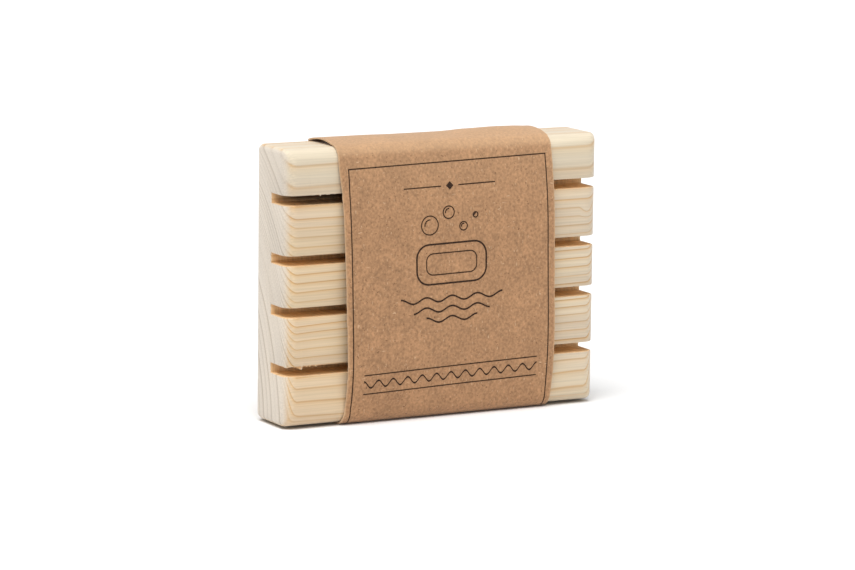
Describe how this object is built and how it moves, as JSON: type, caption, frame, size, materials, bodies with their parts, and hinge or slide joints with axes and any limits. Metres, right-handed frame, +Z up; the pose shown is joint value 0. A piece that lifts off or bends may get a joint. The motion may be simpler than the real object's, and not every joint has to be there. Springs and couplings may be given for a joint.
{
  "type": "soap dish",
  "caption": "Rectangular softwood soap dish with drain slots sawn along its face, standing on its long edge in a wrapped kraft card sleeve that slides off.",
  "frame": {"origin": "on the surface that the dish stands on, below the middle of the sleeved dish", "axes": "+X along the block, to the right when facing the slots; the slotted face looks towards -Y; +Z up"},
  "size_m": [0.11, 0.0272, 0.0887],
  "materials": {
    "softwood": "planed and sanded, not oiled or varnished",
    "kraft_card": "matte, uncoated, with visible fibres",
    "dried_glue": "dried, slightly translucent"
  },
  "bodies": {
    "block": {"wood_block": "softwood"},
    "sleeve": {"kraft_sleeve": "kraft_card", "glue_strip": "dried_glue"}
  },
  "joints": [
    {"name": "sleeve_slide", "type": "slide", "parent": "block", "child": "sleeve", "axis": [1, 0, 0], "range_m": [-0.099, 0.095]}
  ]
}
